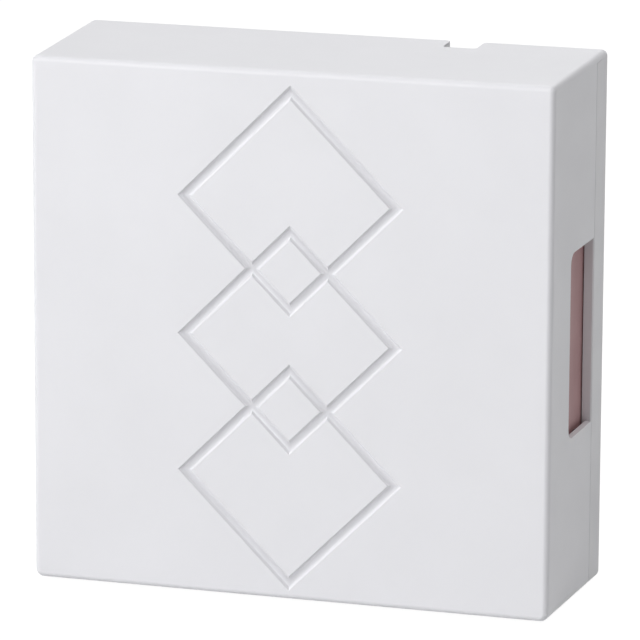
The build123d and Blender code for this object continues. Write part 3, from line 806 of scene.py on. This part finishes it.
# Leads from the tags to the first and the last terminal
leads = {
    "radius": 0.7,
    "stripAtTag": 1.3,
    "stripAtTerminal": 1.9,
    "sides": 4,
    "steps": 14,
    "strandRadius": 0.36,
    "strandSides": 2,
    "strandSteps": 4,
    "strandOverlap": 0.4,  # of the bare strands and the insulation
    "terminalSpacing": 20.0,
    "lines": [
        {"name": "leadRed", "node": "coil_lead_short", "tag": 0, "terminal": -1, "shares": (0.3, 0.3),
         "bow": 0},
        {"name": "leadWhite", "node": "coil_lead_long", "tag": 1, "terminal": 1, "shares": (0.56, 0.4),
         "bow": 2.0},
    ],
}


def makeLead(line, material, strands):
    low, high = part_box(line["node"])
    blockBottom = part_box("terminal_block")[0].z
    clampLow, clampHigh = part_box("terminal_clamps")
    start = tagPlaces[line["tag"]]
    level = (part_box("terminal_plates")[0].y + clampHigh.y) / 2
    terminalX = (clampLow.x + clampHigh.x) / 2 + line["terminal"] * leads["terminalSpacing"] / 2 * mm
    space = blockBottom - start.z
    rise, drop = line["shares"]
    points = [start, Vector((start.x, start.y, start.z + rise * space))]
    dropPoint = Vector((terminalX, level, blockBottom - drop * space))
    if line["bow"]:
        points.append((points[1] + dropPoint) / 2 + forward * line["bow"] * mm)
    points += [dropPoint, Vector((terminalX, level, high.z))]
    coverStart = start + up * leads["stripAtTag"] * mm
    coverEnd = points[-1] - up * leads["stripAtTerminal"] * mm
    covered = [coverStart, *points[1:-1], coverEnd]
    overlap = up * leads["strandOverlap"] * mm
    bm = bmesh.new()
    tubeAlong(bm, covered, leads["radius"], leads["sides"], leads["steps"])
    finishPiece(addPiece(line["name"], bm, material, line["node"]), bodyOf[line["node"]])
    for bare in ([start, coverStart, coverStart + overlap], [coverEnd - overlap, coverEnd, points[-1]]):
        tubeAlong(strands, bare, leads["strandRadius"], leads["strandSides"], leads["strandSteps"])


strands = bmesh.new()
for line, material in zip(leads["lines"], (redInsulation, whiteInsulation)):
    makeLead(line, material, strands)
finishPiece(addPiece("bareStrands", strands, tinned, "coil_tags", replaces=False), bodyOf["coil_tags"])
print("leads laid")


# Stage: floor, world and lamps
stage = {
    "floorSide": 8.0,
    "floorColour": (0.68, 0.68, 0.68),
    "floorGlow": 1.22,
    "glowShare": 0.78,
    "skyLight": 0.10,
    "skyColour": (1.0, 1.0, 1.0),
}
lamps = [
    {"name": "frontLamp", "azimuth": -25, "elevation": 15, "power": 12.6},
    {"name": "leftLamp", "azimuth": -50, "elevation": 15, "power": 6.0},
    {"name": "keyLamp", "azimuth": -50, "elevation": 35, "power": 10.2},
    {"name": "topLamp", "azimuth": 0, "elevation": 50, "power": 8.2},
    {"name": "sideLamp", "azimuth": 100, "elevation": 50, "power": 7.2},
    {"name": "backLamp", "azimuth": 180, "elevation": 50, "power": 11.4},
]
lampShape = {"distance": 2.0, "size": 1.2}


def seenDirectly(recipe):
    # 1 for rays from the camera and for reflections, 0 for the light that falls on surfaces
    path = recipe.node("ShaderNodeLightPath", output="Is Camera Ray")
    outputs = path.socket.node.outputs
    rays = path + Wire(recipe, outputs["Is Glossy Ray"]) + Wire(recipe, outputs["Is Transmission Ray"])
    return recipe.node("ShaderNodeClamp", inputs={"Value": rays})


def makeFloor():
    paper = bpy.data.materials.new("floorPaper")
    recipe = Recipe(paper)
    plain = recipe.node("ShaderNodeBsdfDiffuse", inputs={"Color": (*stage["floorColour"], 1)})
    glow = recipe.node("ShaderNodeEmission", inputs={"Color": (1, 1, 1, 1), "Strength": stage["floorGlow"]})
    mixed = recipe.node("ShaderNodeMixShader",
                        inputs={0: seenDirectly(recipe) * stage["glowShare"], 1: plain, 2: glow})
    recipe.node("ShaderNodeOutputMaterial", inputs={"Surface": mixed})
    bm = bmesh.new()
    bmesh.ops.create_grid(bm, x_segments=1, y_segments=1, size=stage["floorSide"] / 2)
    bmesh.ops.translate(bm, verts=bm.verts, vec=(0, 0, cadLow.z))
    mesh = bpy.data.meshes.new("floor")
    bm.to_mesh(mesh)
    bm.free()
    mesh.materials.append(paper)
    floor = bpy.data.objects.new("floor", mesh)
    scene.collection.objects.link(floor)


def makeSky():
    scene.world = bpy.data.worlds.new("studio")
    recipe = Recipe(scene.world)
    light = recipe.node("ShaderNodeBackground",
                        inputs={"Color": (*stage["skyColour"], 1), "Strength": stage["skyLight"]})
    white = recipe.node("ShaderNodeBackground", inputs={"Strength": 1.0})
    both = recipe.node("ShaderNodeMixShader", inputs={0: seenDirectly(recipe), 1: light, 2: white})
    recipe.node("ShaderNodeOutputWorld", inputs={"Surface": both})


def makeLamps():
    middle = (cadLow + cadHigh) / 2
    for settings in lamps:
        lamp = bpy.data.lights.new(settings["name"], "AREA")
        lamp.shape = "DISK"
        lamp.size = lampShape["size"]
        lamp.energy = settings["power"]
        azimuth, elevation = (math.radians(settings[key]) for key in ("azimuth", "elevation"))
        away = Vector((math.sin(azimuth) * math.cos(elevation), -math.cos(azimuth) * math.cos(elevation),
                       math.sin(elevation)))
        holder = bpy.data.objects.new(settings["name"], lamp)
        holder.location = middle + away * lampShape["distance"]
        holder.rotation_euler = (-away).to_track_quat("-Z", "Y").to_euler()
        scene.collection.objects.link(holder)


makeFloor()
makeSky()
makeLamps()
scene.view_settings.view_transform = "Standard"
print("stage set")
